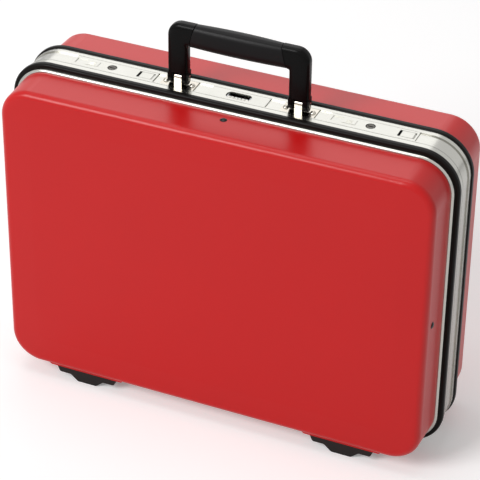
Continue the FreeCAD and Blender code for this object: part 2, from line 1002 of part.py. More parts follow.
def slide_button(name, x):
    """Thumb piece in its recess, with two ridges and a stem down to the slide plate."""
    middle = x - d.button_centre
    half = d.button_length / 2
    top = z_cover + d.button_proud
    thumb = box(
        f"{name}_thumb",
        (middle - half, y_centre - d.button_width / 2, z_cover - d.recess_depth + d.button_float),
        (middle + half, y_centre + d.button_width / 2, top),
    )
    stem_left, stem_right = stem_span(x)
    stem = box(
        f"{name}_stem",
        (stem_left, y_centre - d.stem_width / 2, z_floor - d.bolt_clearance),
        (stem_right, y_centre + d.stem_width / 2, z_cover),
    )
    ridges = [
        box(
            f"{name}_ridge_{index}",
            (
                middle - d.ridge_length / 2,
                y_centre + side * d.ridge_pitch / 2 - d.ridge_width / 2,
                top - d.ridge_height,
            ),
            (
                middle + d.ridge_length / 2,
                y_centre + side * d.ridge_pitch / 2 + d.ridge_width / 2,
                top + d.ridge_height,
            ),
        )
        for index, side in enumerate(BOTH_SIDES)
    ]
    return fuse(name, thumb, stem, *ridges)


def y_bolt_leg():
    """Front face of the bolt's leg, just behind the lock case's front wall."""
    return y_centre - d.case_width / 2 + d.case_wall + d.bolt_leg_inset


def lock_bolt(name, x):
    """Slide plate under the cover, with the leg that the striker's notch takes."""
    middle = x - d.button_centre
    top = z_floor - d.bolt_clearance
    plate = box(
        f"{name}_plate",
        (middle - d.bolt_length / 2, y_centre - d.bolt_width / 2, top - d.bolt_thickness),
        (middle + d.bolt_length / 2, y_centre + d.bolt_width / 2, top),
    )
    leg = box(
        f"{name}_leg",
        (middle - d.bolt_leg_length / 2, y_bolt_leg(), top - d.bolt_reach),
        (middle + d.bolt_leg_length / 2, y_bolt_leg() + d.bolt_leg_thickness, top),
    )
    return fuse(name, plate, leg)


def z_striker():
    """Top of the striker plate, against the underside of the lid's groove."""
    return z_top - d.groove_drop - d.leg_wall


def striker_span(x):
    """Left and right edges of the striker, to the left of the bolt's leg at rest."""
    right = x - d.button_centre - d.bolt_leg_length / 2 - d.striker_gap
    return right - d.striker_width, right


def striker_rivet_places(x):
    left, right = striker_span(x)
    y = (y_web + y_lid_part + d.seal_thickness) / 2
    middle = (left + right) / 2
    return [(middle + side * d.striker_rivet_pitch / 2, y) for side in BOTH_SIDES]


def striker_holes(name, x):
    """Rivet holes through the groove's lower wall and the striker."""
    return [
        cylinder(
            f"{name}_{index}",
            "Z",
            (place[0], place[1], z_striker() - d.striker_thickness - d.cut_overrun),
            d.striker_rivet,
            d.leg_wall + d.striker_thickness + 2 * d.cut_overrun,
        )
        for index, place in enumerate(striker_rivet_places(x))
    ]


def striker(name, x):
    """Plate from the lid into the lock, with a side notch for the bolt's leg."""
    left, right = striker_span(x)
    plate = box(
        f"{name}_plate",
        (left, y_web, z_striker() - d.striker_thickness),
        (right, y_base_part + d.striker_reach, z_striker()),
    )
    notch = box(
        f"{name}_notch",
        (
            right - d.notch_depth,
            y_bolt_leg() - d.notch_side_gap,
            z_striker() - d.striker_thickness - d.cut_overrun,
        ),
        (
            right + d.cut_overrun,
            y_bolt_leg() + d.bolt_leg_thickness + d.notch_side_gap,
            z_striker() + d.cut_overrun,
        ),
    )
    return cut(name, plate, notch, *striker_holes(f"{name}_hole", x))


def striker_rivets(name):
    """Rivets from the lid's groove through the strikers, headed at both ends."""
    rivets = []
    head, height = d.striker_rivet_head, d.striker_rivet_height
    grip = d.leg_wall + d.striker_thickness
    for side, sign in LOCK_SIDES.items():
        for index, (x, y) in enumerate(striker_rivet_places(sign * lock_x)):
            rivet = turned(
                f"{name}_{side}_{index}",
                [
                    (-grip - height, 0),
                    (height, 0, crown_radius(head, height)),
                    (0, head),
                    (0, d.striker_rivet),
                    (-grip, d.striker_rivet),
                    (-grip, head),
                    (-grip - height, head),
                ],
            )
            seat = z_top - d.groove_drop
            rivets.append(set_down(rivet, Rotation(Vector(0, 1, 0), -90), (x, y, seat)))
    return group(name, *rivets)


def y_dial_axis():
    """The wheels stand nearer to the lid, which leaves a gap behind them in the window."""
    return y_centre - d.dial_setback


def z_dial_axis():
    return z_cover - d.dial_sink - d.dial_radius


def dial_plate(name):
    """Cover plate between the handle's feet, with a round-ended window over the dials."""
    low, high = cover_span()
    half = d.dial_plate_length / 2
    return prism(
        name,
        "XY_Plane",
        z_floor,
        d.cover_thickness,
        rectangle((-half, low), (half, high)),
        rounded(
            d.dial_window_length, d.dial_window_width, d.dial_window_round, (0, y_centre)
        ),
    )


def dial(name, place):
    """Number wheel on its axle, with a notch between each two of its numbers."""
    body = new_body(name)
    start = place * d.dial_pitch - d.dial_width / 2
    sketch = new_sketch(body, f"{name}_outline", "YZ_Plane", start)
    y_axis, z_axis = y_dial_axis(), z_dial_axis()
    for tag, radius in (("rim", d.dial_radius), ("bore", d.dial_axle + d.dial_axle_fit)):
        centre = Vector(y_axis.value, z_axis.value, 0)
        edge = sketch.addGeometry(Part.Circle(centre, Vector(0, 0, 1), radius.value), False)
        hold(sketch, "DistanceX", edge, 3, y_axis)
        hold(sketch, "DistanceY", edge, 3, z_axis)
        index = sketch.addConstraint(Sketcher.Constraint("Radius", edge, radius.value))
        sketch.renameConstraint(index, f"radius_{tag}")
        bind(sketch, f"Constraints.radius_{tag}", radius)
    pad = body.newObject("PartDesign::Pad", f"{name}_pad")
    pad.Profile = sketch
    bind(pad, "Length", d.dial_width)
    notches = []
    for index in range(DIAL_POSITIONS):
        notch = doc.addObject("Part::Box", f"{name}_notch_{index}")
        bind(notch, "Length", d.dial_width + 2 * d.cut_overrun)
        bind(notch, "Width", d.dial_notch_width)
        bind(notch, "Height", d.dial_notch_depth + d.cut_overrun)
        # A number stands at the top of the wheel, so the notches start half a step round
        turn = 2 * math.pi * (index + 0.5) / DIAL_POSITIONS
        cosine, sine = math.cos(turn), math.sin(turn)
        across = -d.dial_notch_width / 2
        out = d.dial_radius - d.dial_notch_depth
        set_down(
            notch,
            Rotation(Vector(1, 0, 0), math.degrees(turn)),
            (
                start - d.cut_overrun,
                y_axis + across * cosine - out * sine,
                z_axis + across * sine + out * cosine,
            ),
        )
        notches.append(notch)
    return cut(name + "_wheel", body, *notches)


def cage_half():
    """Inside half length of the dial cage, beside the outer wheels."""
    return d.dial_pitch + d.dial_width / 2 + d.cage_side_gap


def dial_cage(name):
    """Sheet cradle under the dial plate that carries the dials' axle."""
    half = cage_half()
    low = z_dial_axis() - d.dial_radius - d.cage_bottom_gap
    y_low, y_high = y_centre - d.cage_width / 2, y_centre + d.cage_width / 2
    outer = box(
        f"{name}_outer",
        (-half - d.cage_wall, y_low, low - d.cage_wall),
        (half + d.cage_wall, y_high, z_floor),
    )
    inner = box(
        f"{name}_inner",
        (-half, y_low - d.cut_overrun, low),
        (half, y_high + d.cut_overrun, z_floor + d.cut_overrun),
    )
    bore = cylinder(
        f"{name}_bore",
        "X",
        (-half - d.cage_wall - d.cut_overrun, y_dial_axis(), z_dial_axis()),
        d.dial_axle,
        2 * (half + d.cage_wall + d.cut_overrun),
    )
    return cut(name, outer, inner, bore)


def dial_axle(name):
    reach = cage_half() + d.cage_wall + d.axle_stub
    return cylinder(name, "X", (-reach, y_dial_axis(), z_dial_axis()), d.dial_axle, 2 * reach)


def arm_x(side):
    """Middle of a handle arm."""
    return side * x_arm


def bracket_rivet_places(side):
    return [(arm_x(side) + end * d.bracket_rivet_pitch / 2, y_centre) for end in BOTH_SIDES]


def bracket_holes(name, side):
    return [
        cylinder(
            f"{name}_{index}",
            "Z",
            (place[0], place[1], z_floor_under - d.cut_overrun),
            d.bracket_rivet,
            d.extrusion_wall + d.cover_thickness + 2 * d.cut_overrun,
        )
        for index, place in enumerate(bracket_rivet_places(side))
    ]


def handle_bracket(name, side):
    """Plate in the channel with a strap bent up over the handle's pin."""
    low, high = cover_span()
    half = d.bracket_length / 2
    x = arm_x(side)
    plate = box(f"{name}_plate", (x - half, low, z_floor), (x + half, high, z_cover))
    inner = d.pin_radius
    outer = inner + d.hoop_wall
    hoop = prism(
        f"{name}_hoop",
        "YZ_Plane",
        x - d.hoop_width / 2,
        d.hoop_width,
        [
            (y_centre + inner, z_floor),
            (y_centre + outer, z_floor),
            (y_centre + outer, z_pivot, outer),
            (y_centre, z_pivot + outer, outer),
            (y_centre - outer, z_pivot),
            (y_centre - outer, z_floor),
            (y_centre - inner, z_floor),
            (y_centre - inner, z_pivot, inner, -1),
            (y_centre, z_pivot + inner, inner, -1),
            (y_centre + inner, z_pivot),
        ],
    )
    return cut(name, fuse(f"{name}_bent", plate, hoop), *bracket_holes(f"{name}_hole", side))


def handle_pin(name, side):
    """Pin through an arm's ears and the strap, with a low crowned head at each end."""
    shank = d.arm_width / 2 + d.pin_end_gap
    end = shank + d.pin_head_height
    crown = end - d.pin_head_crown
    bend = crown_radius(d.pin_head, d.pin_head_crown)
    pin = turned(
        name,
        [
            (-end, 0),
            (end, 0, bend),
            (crown, d.pin_head),
            (shank, d.pin_head),
            (shank, d.pin_radius),
            (-shank, d.pin_radius),
            (-shank, d.pin_head),
            (-crown, d.pin_head, bend),
        ],
    )
    return set_down(pin, Rotation(), (arm_x(side), y_centre, z_pivot))


def bracket_rivets(name):
    rivets = []
    grip = d.extrusion_wall + d.cover_thickness
    head, height = d.bracket_rivet_head, d.bracket_rivet_height
    for side in BOTH_SIDES:
        for index, (x, y) in enumerate(bracket_rivet_places(side)):
            rivet = turned(
                f"{name}_{side + 1}_{index}",
                [
                    (-grip - height, 0),
                    (height, 0, crown_radius(head, height)),
                    (0, head),
                    (0, d.bracket_rivet),
                    (-grip, d.bracket_rivet),
                    (-grip, head),
                    (-grip - height, head),
                ],
            )
            rivets.append(set_down(rivet, Rotation(Vector(0, 1, 0), -90), (x, y, z_cover)))
    return group(name, *rivets)


def grip_ends():
    """Half lengths of the grip at the bow's top and underside, the underside being longer."""
    return d.grip_top_length / 2, d.grip_bottom_length / 2


def handle_bow(name):
    """U-shaped bow: two arms, a bridge cut away for the grip, and a core bar through it."""
    half = d.handle_width / 2
    inner = half - d.arm_width
    top, under = z_pivot + d.bow_top, z_pivot + d.bow_under
    corner, inner_corner = d.bow_corner, d.bow_inner_corner
    start = y_centre - d.bow_thickness / 2
    bow = prism(
        f"{name}_bend",
        "XZ_Plane",
        start,
        d.bow_thickness,
        [
            (half, z_pivot),
            (half, top - corner, corner),
            (half - corner, top),
            (-half + corner, top, corner),
            (-half, top - corner),
            (-half, z_pivot),
            (-inner, z_pivot),
            (-inner, under - inner_corner, inner_corner, -1),
            (-inner + inner_corner, under),
            (inner - inner_corner, under, inner_corner, -1),
            (inner, under - inner_corner),
            (inner, z_pivot),
        ],
    )

    def outside(edge):
        span = edge.BoundBox
        near = d.bead_fit.value
        reach = max(abs(span.XMin), abs(span.XMax))
        on_side = reach > half.value - near and span.ZLength > near
        on_top = span.ZMax > top.value - near
        return span.YLength < near and (on_side or on_top)

    round_edges(bow, f"{name}_rounding", d.bow_round, outside)
    top_half, low_half = grip_ends()
    above, below = d.grip_crown + d.cut_overrun, d.grip_belly + d.cut_overrun
    slope = (low_half - top_half) / (d.bow_top - d.bow_under)
    gap = prism(
        f"{name}_gap",
        "XZ_Plane",
        start - d.cut_overrun,
        d.bow_thickness + 2 * d.cut_overrun,
        [
            (low_half + slope * below, under - below),
            (top_half - slope * above, top + above),
            (-top_half + slope * above, top + above),
            (-low_half - slope * below, under - below),
        ],
    )
    middle = (top + under) / 2
    core = box(
        f"{name}_core",
        (-x_arm, y_centre - d.core_thickness / 2, middle - d.core_height / 2),
        (x_arm, y_centre + d.core_thickness / 2, middle + d.core_height / 2),
    )
    pieces = [cut(f"{name}_arms", bow, gap), core]
    tools = []
    for index, side in enumerate(BOTH_SIDES):
        x = arm_x(side)
        end = x - d.arm_width / 2
        pieces.append(
            cylinder(
                f"{name}_end_{index}",
                "X",
                (end, y_centre, z_pivot),
                d.bow_thickness / 2,
                d.arm_width,
            )
        )
        half_notch = d.ear_notch_width / 2
        tools.append(
            box(
                f"{name}_notch_{index}",
                (x - half_notch, start - d.cut_overrun, z_pivot - d.bow_thickness),
                (
                    x + half_notch,
                    start + d.bow_thickness + d.cut_overrun,
                    z_pivot + d.ear_notch_height,
                ),
            )
        )
        tools.append(
            cylinder(
                f"{name}_bore_{index}",
                "X",
                (end - d.cut_overrun, y_centre, z_pivot),
                d.pin_radius + d.pin_fit,
                d.arm_width + 2 * d.cut_overrun,
            )
        )
    return cut(name, fuse(f"{name}_solid", *pieces), *tools)


def handle_grip(name):
    """Thick hand grip round the core bar, longer below, with a crowned top and a full belly."""
    top_half, low_half = grip_ends()
    top_half, low_half = top_half - d.grip_seam, low_half - d.grip_seam
    top, under = z_pivot + d.bow_top, z_pivot + d.bow_under
    body = prism(
        f"{name}_block",
        "XZ_Plane",
        y_centre - d.grip_thickness / 2,
        d.grip_thickness,
        [
            (low_half, under),
            (top_half, top, crown_radius(top_half, d.grip_crown)),
            (0, top + d.grip_crown, crown_radius(top_half, d.grip_crown)),
            (-top_half, top),
            (-low_half, under, crown_radius(low_half, d.grip_belly)),
            (0, under - d.grip_belly, crown_radius(low_half, d.grip_belly)),
        ],
    )

    def lengthwise(edge):
        return edge.BoundBox.XLength > top_half.value / 2

    round_edges(body, f"{name}_rounding", d.grip_round, lengthwise)
    middle = (top + under) / 2
    half_height = d.core_height / 2 + d.core_fit
    half_thickness = d.core_thickness / 2 + d.core_fit
    bore = box(
        f"{name}_bore",
        (-low_half - d.cut_overrun, y_centre - half_thickness, middle - half_height),
        (low_half + d.cut_overrun, y_centre + half_thickness, middle + half_height),
    )
    return cut(name, body, bore)


z_hinge = z_bottom - d.band_rise - d.hinge_axis_rise
y_hinge = (y_lid_part + y_base_part) / 2


def knuckles(name, x, spans):
    """Barrels along the hinge axis, each over its span from the hinge's middle."""
    return [
        cylinder(f"{name}_{index}", "X", (x + low, y_hinge, z_hinge), d.hinge_barrel, high - low)
        for index, (low, high) in enumerate(spans)
    ]


def outer_spans():
    half = d.hinge_length / 2
    inner = d.hinge_middle_length / 2 + d.hinge_knuckle_gap
    return [(-half, -inner), (inner, half)]


def middle_span():
    return [(-d.hinge_middle_length / 2, d.hinge_middle_length / 2)]


def hinge_rivet_places(x, y):
    return [(x + side * d.hinge_rivet_pitch / 2, y) for side in BOTH_SIDES]


def y_lid_rivet():
    """Row of the lid leaf's rivets, clear of the base's knuckles."""
    return y_strip + d.hinge_leaf_setback + d.hinge_rivet_head


def base_leaf(name, x):
    """Leaf in the base's lower channel with the two outer knuckles."""
    low, high = cover_span()
    half = d.hinge_length / 2
    z_low = z_bottom - d.band_rise
    z_seat = z_low + d.channel_depth
    leaf = box(f"{name}_plate", (x - half, low, z_seat - d.hinge_leaf), (x + half, high, z_seat))
    webs = [
        box(
            f"{name}_web_{index}",
            (x + start, low, z_hinge),
            (x + end, y_hinge + d.hinge_barrel, z_seat),
        )
        for index, (start, end) in enumerate(outer_spans())
    ]
    barrels = knuckles(f"{name}_barrel", x, outer_spans())
    holes = [
        cylinder(
            f"{name}_hole_{index}",
            "Z",
            (place[0], place[1], z_seat - d.hinge_leaf - d.cut_overrun),
            d.hinge_rivet,
            d.hinge_leaf + d.extrusion_wall + 2 * d.cut_overrun,
        )
        for index, place in enumerate(hinge_rivet_places(x, y_centre))
    ]
    bore = hinge_bore(f"{name}_bore", x, d.hinge_pin)
    return cut(name, fuse(f"{name}_solid", leaf, *webs, *barrels), bore, *holes), holes


def lid_leaf(name, x):
    """Leaf on the lid's lower strip with the middle knuckle."""
    half = d.hinge_length / 2
    z_seat = z_bottom - d.band_rise
    set_in = d.hinge_leaf_setback
    leaf = box(
        f"{name}_plate",
        (x - half, y_strip + set_in, z_seat - d.hinge_leaf),
        (x + half, y_lid_part - set_in, z_seat),
    )
    (start, end) = middle_span()[0]
    web = box(
        f"{name}_web",
        (x + start, y_hinge - d.hinge_barrel, z_hinge),
        (x + end, y_lid_part - set_in, z_seat),
    )
    barrels = knuckles(f"{name}_barrel", x, middle_span())
    holes = [
        cylinder(
            f"{name}_hole_{index}",
            "Z",
            (place[0], place[1], z_seat - d.hinge_leaf - d.cut_overrun),
            d.hinge_rivet,
            d.hinge_leaf + d.extrusion_wall + d.cut_overrun,
        )
        for index, place in enumerate(hinge_rivet_places(x, y_lid_rivet()))
    ]
    gap = d.hinge_knuckle_gap
    reliefs = [
        box(
            f"{name}_relief_{index}",
            (x + low - gap, y_hinge - d.hinge_barrel - gap, z_seat - d.hinge_leaf - d.cut_overrun),
            (x + high + gap, y_lid_part, z_seat + d.cut_overrun),
        )
        for index, (low, high) in enumerate(outer_spans())
    ]
    bore = hinge_bore(f"{name}_bore", x, d.hinge_pin + d.hinge_pin_fit)
    solid = fuse(f"{name}_solid", leaf, web, *barrels)
    return cut(name, solid, bore, *reliefs, *holes), holes


def hinge_bore(name, x, radius):
    half = d.hinge_length / 2 + d.cut_overrun
    return cylinder(name, "X", (x - half, y_hinge, z_hinge), radius, 2 * half)


def hinge_pin(name, x):
    start = (x - d.hinge_length / 2, y_hinge, z_hinge)
    return cylinder(name, "X", start, d.hinge_pin, d.hinge_length)


def hinge_rivets(name, y, z_seat):
    """Flush-set rivets of both hinges, their heads under the leaf."""
    outline = rivet_outline(
        d.hinge_rivet,
        d.hinge_rivet_head,
        d.hinge_rivet_height,
        d.hinge_leaf + d.extrusion_wall,
    )
    rivets = []
    for side in BOTH_SIDES:
        for index, (x, place) in enumerate(hinge_rivet_places(side * d.hinge_x, y)):
            rivet = turned(f"{name}_{side + 1}_{index}", outline)
            turn = Rotation(Vector(0, 1, 0), 90)
            rivets.append(set_down(rivet, turn, (x, place, z_seat - d.hinge_leaf)))
    return group(name, *rivets)


def lock_opening(name, left, right, width):
    """Opening through the floor of the band's channel on top of the case."""
    return box(
        name,
        (left, y_centre - width / 2, z_floor_under - d.cut_overrun),
        (right, y_centre + width / 2, z_floor + d.cut_overrun),
    )


def build():
    """Builds every piece and returns the nodes by name."""
    nodes = {}

    lid_cuts, base_cuts = [], []
    for side, sign in LOCK_SIDES.items():
        x = sign * lock_x
        nodes[f"lock_cover_{side}"] = lock_cover(f"lock_cover_{side}", x)
        nodes[f"lock_case_{side}"] = lock_case(f"lock_case_{side}", x)
        nodes[f"slide_button_{side}"] = slide_button(f"slide_button_{side}", x)
        nodes[f"lock_bolt_{side}"] = lock_bolt(f"lock_bolt_{side}", x)
        nodes[f"key_cylinder_{side}"] = key_cylinder(f"key_cylinder_{side}", x)
        nodes[f"release_flap_{side}"] = release_flap(f"release_flap_{side}", x)
        nodes[f"flap_pin_{side}"] = flap_pin(f"flap_pin_{side}", x)
        nodes[f"striker_{side}"] = striker(f"striker_{side}", x)
        left, right = lock_ends(x)
        width = d.case_width + 2 * d.case_fit
        base_cuts.append(
            lock_opening(f"lock_opening_{side}", left - d.case_fit, right + d.case_fit, width)
        )
        lid_cuts += striker_holes(f"striker_hole_{side}", x)
    nodes["striker_rivets"] = striker_rivets("striker_rivets")

    nodes["dial_plate"] = dial_plate("dial_plate")
    for side, place in DIAL_PLACES.items():
        nodes[f"dial_{side}"] = dial(f"dial_{side}", place)
    nodes["dial_cage"] = dial_cage("dial_cage")
    nodes["dial_axle"] = dial_axle("dial_axle")
    half = cage_half() + d.cage_wall + d.axle_stub + d.case_fit
    width = d.cage_width + 2 * d.case_fit
    base_cuts.append(lock_opening("dial_opening", -half, half, width))

    for side, sign in LOCK_SIDES.items():
        nodes[f"handle_bracket_{side}"] = handle_bracket(f"handle_bracket_{side}", sign)
        nodes[f"handle_pin_{side}"] = handle_pin(f"handle_pin_{side}", sign)
        base_cuts += bracket_holes(f"bracket_hole_{side}", sign)
    nodes["bracket_rivets"] = bracket_rivets("bracket_rivets")
    nodes["handle_bow"] = handle_bow("handle_bow")
    nodes["handle_grip"] = handle_grip("handle_grip")

    z_strip_low = z_bottom - d.band_rise
    for side, sign in LOCK_SIDES.items():
        x = sign * d.hinge_x
        leaf, holes = base_leaf(f"hinge_base_leaf_{side}", x)
        nodes[f"hinge_base_leaf_{side}"] = leaf
        base_cuts += holes
        leaf, holes = lid_leaf(f"hinge_lid_leaf_{side}", x)
        nodes[f"hinge_lid_leaf_{side}"] = leaf
        lid_cuts += holes
        nodes[f"hinge_pin_{side}"] = hinge_pin(f"hinge_pin_{side}", x)
    nodes["hinge_base_rivets"] = hinge_rivets(
        "hinge_base_rivets", y_centre, z_strip_low + d.channel_depth
    )
    nodes["hinge_lid_rivets"] = hinge_rivets("hinge_lid_rivets", y_lid_rivet(), z_strip_low)

    lid_moulding, lid_holes = shell("lid_shell", y_lip, y_front, 1)
    nodes["lid_rivets"], rivet_holes = lid_rivets("lid_rivets")
    nodes["lid_shell"] = cut("lid_shell", lid_moulding, *lid_holes, *rivet_holes)
    base_moulding, base_holes = shell("base_shell", y_rear_land, y_rear, -1)
    nodes["base_shell"] = cut("base_shell", base_moulding, *base_holes)
    nodes["lid_feet"] = feet("lid_feet", y_lip, y_front)
    nodes["base_feet"] = feet("base_feet", y_rear_land, y_rear)

    nodes["lid_frame"] = cut("lid_frame", ring("lid_extrusion", lid_frame_section()), *lid_cuts)
    nodes["base_frame"] = cut(
        "base_frame", ring("base_extrusion", base_frame_section()), *base_cuts
    )
    nodes["lid_bead"] = ring("lid_bead", bead_section(y_bead, y_strip))
    nodes["base_bead"] = ring("base_bead", bead_section(y_band_end, y_rear_lip))
    nodes["lid_seal"] = ring("lid_seal", seal_section())
    return nodes


def check(nodes):
    """Stops the build if an object failed or a node is not a sound solid."""
    for item in doc.Objects:
        if "Invalid" in item.State or "Error" in item.State:
            raise RuntimeError(f"{item.Label} failed: {item.State}")
    for name, item in nodes.items():
        shape = item.Shape
        if shape.isNull() or not shape.isValid() or not shape.Solids:
            raise RuntimeError(f"{name} has no sound shape")


def write(nodes):
    os.makedirs("parts", exist_ok=True)
    for name, item in nodes.items():
        item.Label = name
        item.Shape.exportStep(os.path.join("parts", f"{name}.step"))
        print(name, len(item.Shape.Solids), "solids", round(item.Shape.Volume), "mm3")


pieces = build()
doc.recompute()
check(pieces)
write(pieces)
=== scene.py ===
"""Looks of a red hard-shell case with an aluminium frame, flush locks and a folding handle.

The case stands on its feet with the handle up. Lengths are written in millimetres and
turned to metres where a mesh is made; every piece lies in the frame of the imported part.
"""

from __future__ import annotations

import logging
import math
from dataclasses import dataclass
from enum import Enum
from typing import Iterable, Sequence

import bmesh
import bpy
import numpy as np
from mathutils import Matrix, Vector


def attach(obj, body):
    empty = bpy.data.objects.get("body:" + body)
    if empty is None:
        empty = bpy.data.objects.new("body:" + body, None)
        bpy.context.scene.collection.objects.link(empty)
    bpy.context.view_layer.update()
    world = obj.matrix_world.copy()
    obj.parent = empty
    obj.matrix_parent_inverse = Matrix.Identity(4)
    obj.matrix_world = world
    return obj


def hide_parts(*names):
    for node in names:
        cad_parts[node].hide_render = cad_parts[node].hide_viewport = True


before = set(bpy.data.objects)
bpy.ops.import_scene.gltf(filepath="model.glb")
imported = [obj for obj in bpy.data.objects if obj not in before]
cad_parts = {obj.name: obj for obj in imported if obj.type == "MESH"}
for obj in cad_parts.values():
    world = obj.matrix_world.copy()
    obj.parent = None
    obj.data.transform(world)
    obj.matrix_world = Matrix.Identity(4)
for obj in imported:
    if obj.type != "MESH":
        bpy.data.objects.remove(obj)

log = logging.getLogger("hard_case")

MM = 0.001
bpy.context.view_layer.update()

# Vertices in millimetres, and faces as lists of vertex numbers
Skin = tuple[np.ndarray, list[list[int]]]


class Side(Enum):
    """Which end of the handle an arm is on, by its sign along X."""

    LEFT = -1
    RIGHT = 1


class Wheel(Enum):
    """The number wheels, by their place along the axle in steps."""

    LEFT = -1
    MIDDLE = 0
    RIGHT = 1

    @property
    def label(self) -> str:
        """Word that ends the name of this wheel's node and body."""
        return self.name.lower()


def srgb(code: str) -> tuple[float, float, float, float]:
    """Linear colour of an sRGB hex code.

    Args:
        code: Six hex digits, with or without a leading hash.

    Returns:
        Linear red, green and blue, with alpha 1.
    """
    digits = code.lstrip("#")
    parts = np.array([int(digits[i : i + 2], 16) for i in (0, 2, 4)]) / 255.0
    linear = np.where(parts <= 0.04045, parts / 12.92, ((parts + 0.055) / 1.055) ** 2.4)
    return (*(float(part) for part in linear), 1.0)


def add_node(
    tree: bpy.types.NodeTree,
    kind: str,
    settings: dict[str, object] | None = None,
    inputs: dict[str | int, object] | None = None,
) -> bpy.types.Node:
    """Adds one shader node, sets it up and links it.

    Args:
        tree: Node tree that takes the node.
        kind: Blender's type name of the node.
        settings: Node properties by name.
        inputs: Socket values by name or index; an output socket is linked instead.

    Returns:
        The new node.
    """
    node = tree.nodes.new(kind)
    for name, value in (settings or {}).items():
        setattr(node, name, value)
    for name, value in (inputs or {}).items():
        if isinstance(value, bpy.types.NodeSocket):
            tree.links.new(value, node.inputs[name])
        else:
            node.inputs[name].default_value = value
    return node


@dataclass(frozen=True)
class Finish:
    """A surface: what it is made of, and the pattern that its making leaves.

    The tint is mixed between two close colours by a soft noise, and the roughness and a fine
    bump follow a second noise that can be drawn out along an axis, as brushing does.
    """

    name: str
    colour: str
    shade: str
    metallic: float = 0.0
    roughness: float = 0.4
    rough_spread: float = 0.06
    specular: float = 0.5
    grain_mm: tuple[float, float, float] = (1.5, 1.5, 1.5)
    cloud_mm: float = 60.0
    bump_mm: float = 0.02
    detail: float = 3.0

    def build(self) -> bpy.types.Material:
        """Makes the material's nodes.

        Returns:
            The finished material.
        """
        material = bpy.data.materials.new(self.name)
        material.use_nodes = True
        tree = material.node_tree
        tree.nodes.clear()
        place = add_node(tree, "ShaderNodeTexCoord").outputs["Object"]
        scale = tuple(1.0 / (size * MM) for size in self.grain_mm)
        stretched = add_node(
            tree, "ShaderNodeMapping", inputs={"Vector": place, "Scale": scale}
        ).outputs["Vector"]
        grain = add_node(
            tree,
            "ShaderNodeTexNoise",
            inputs={"Vector": stretched, "Scale": 1.0, "Detail": self.detail, "Roughness": 0.55},
        ).outputs["Fac"]
        cloud = add_node(
            tree,
            "ShaderNodeTexNoise",
            inputs={"Vector": place, "Scale": 1.0 / (self.cloud_mm * MM), "Detail": 2.0},
        ).outputs["Fac"]
        tint = add_node(
            tree,
            "ShaderNodeMix",
            settings={"data_type": "RGBA"},
            # 6 and 7 are the node's colour sockets; its other kinds share their names
            inputs={0: cloud, 6: srgb(self.colour), 7: srgb(self.shade)},
        )
        spread = add_node(
            tree,
            "ShaderNodeMapRange",
            inputs={
                "Value": grain,
                "From Min": 0.3,
                "From Max": 0.7,
                "To Min": self.roughness - self.rough_spread,
                "To Max": self.roughness + self.rough_spread,
            },
        )
        bump = add_node(
            tree,
            "ShaderNodeBump",
            inputs={"Height": grain, "Strength": 1.0, "Distance": self.bump_mm * MM},
        )
        shader = add_node(
            tree,
            "ShaderNodeBsdfPrincipled",
            inputs={
                "Base Color": tint.outputs[2],
                "Roughness": spread.outputs["Result"],
                "Normal": bump.outputs["Normal"],
                "Metallic": self.metallic,
                "Specular IOR Level": self.specular,
            },
        )
        add_node(tree, "ShaderNodeOutputMaterial", inputs={"Surface": shader.outputs["BSDF"]})
        return material


# Moulded ABS sheet: an even red with a soft sheen and a faint orange peel from the mould
RED_ABS = Finish(
    "moulded_red_abs",
    "#CB090B",
    "#C5080A",
    roughness=0.31,
    rough_spread=0.01,
    specular=0.37,
    grain_mm=(3.0, 3.0, 3.0),
    cloud_mm=120.0,
    bump_mm=0.001,
)
# Satin anodised extrusion: drawing lines run along it and give a softly streaked shine. Real lines
# are about 0.1 mm wide; they are drawn 1.6 mm wide, since finer ones fall between the pixels
DRAWN_ALUMINIUM = Finish(
    "satin_anodised_aluminium",
    "#BAB9B3",
    "#AEADA7",
    metallic=1.0,
    roughness=0.22,
    rough_spread=0.05,
    grain_mm=(90.0, 1.6, 90.0),
    cloud_mm=70.0,
    bump_mm=0.006,
)
# Brushed cover plate: strokes run along the band and draw highlights out across it; drawn 1.2 mm
# wide for the same reason
BRUSHED_ALUMINIUM = Finish(
    "brushed_aluminium_plate",
    "#BDBCB6",
    "#B1B0AA",
    metallic=1.0,
    roughness=0.3,
    rough_spread=0.05,
    grain_mm=(40.0, 1.2, 40.0),
    cloud_mm=40.0,
    bump_mm=0.004,
)
# Extruded PVC bead: deep black, smooth enough for a long highlight
BLACK_PVC = Finish(
    "extruded_black_pvc",
    "#14110F",
    "#0D0B0A",
    roughness=0.34,
    rough_spread=0.05,
    specular=0.1,
    grain_mm=(30.0, 1.5, 30.0),
    bump_mm=0.01,
)
# Moulded polypropylene foot: dull black with a slight brown cast
FOOT_PLASTIC = Finish(
    "moulded_black_polypropylene",
    "#1F1B1A",
    "#171413",
    roughness=0.5,
    rough_spread=0.06,
    specular=0.25,
    grain_mm=(1.4, 1.4, 1.4),
    bump_mm=0.03,
)
# Glass-filled nylon bow: glossy black with sharp highlights on its edges
BOW_NYLON = Finish(
    "moulded_black_nylon",
    "#0A0909",
    "#060606",
    roughness=0.24,
    rough_spread=0.05,
    specular=0.09,
    grain_mm=(1.2, 1.2, 1.2),
    bump_mm=0.012,
)
# Soft PVC grip: black with a fine skin grain
GRIP_PVC = Finish(
    "grained_black_soft_pvc",
    "#100E0F",
    "#0A090A",
    roughness=0.36,
    rough_spread=0.08,
    specular=0.15,
    grain_mm=(1.1, 1.1, 1.1),
    bump_mm=0.06,
    detail=4.0,
)
